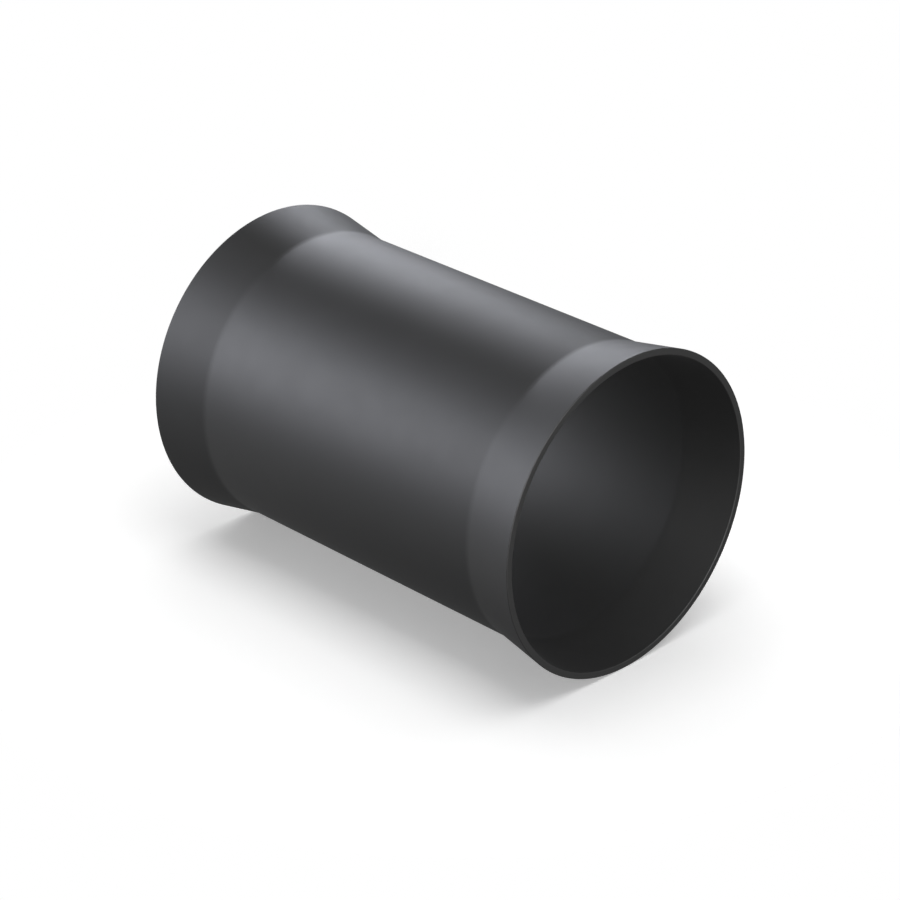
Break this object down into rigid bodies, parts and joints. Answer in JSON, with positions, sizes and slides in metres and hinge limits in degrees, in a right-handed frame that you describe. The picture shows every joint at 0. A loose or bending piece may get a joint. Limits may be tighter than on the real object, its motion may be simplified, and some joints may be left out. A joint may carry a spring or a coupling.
{
  "type": "duct coupling",
  "caption": "Plain round plastic tube with flared ends, which joins round ventilation ducts pushed into it end to end.",
  "frame": {"origin": "on the duct axis, in the plane of the lower rim that the part stands on", "axes": "+Z along the duct axis, from the lower rim to the upper rim; X and Y are free, because the part is a body of revolution"},
  "size_m": [0.1684, 0.1684, 0.254],
  "materials": {
    "plastic": "satin dark anthracite, smooth, coloured through"
  },
  "bodies": {
    "root": {"coupling": "plastic"}
  },
  "joints": []
}
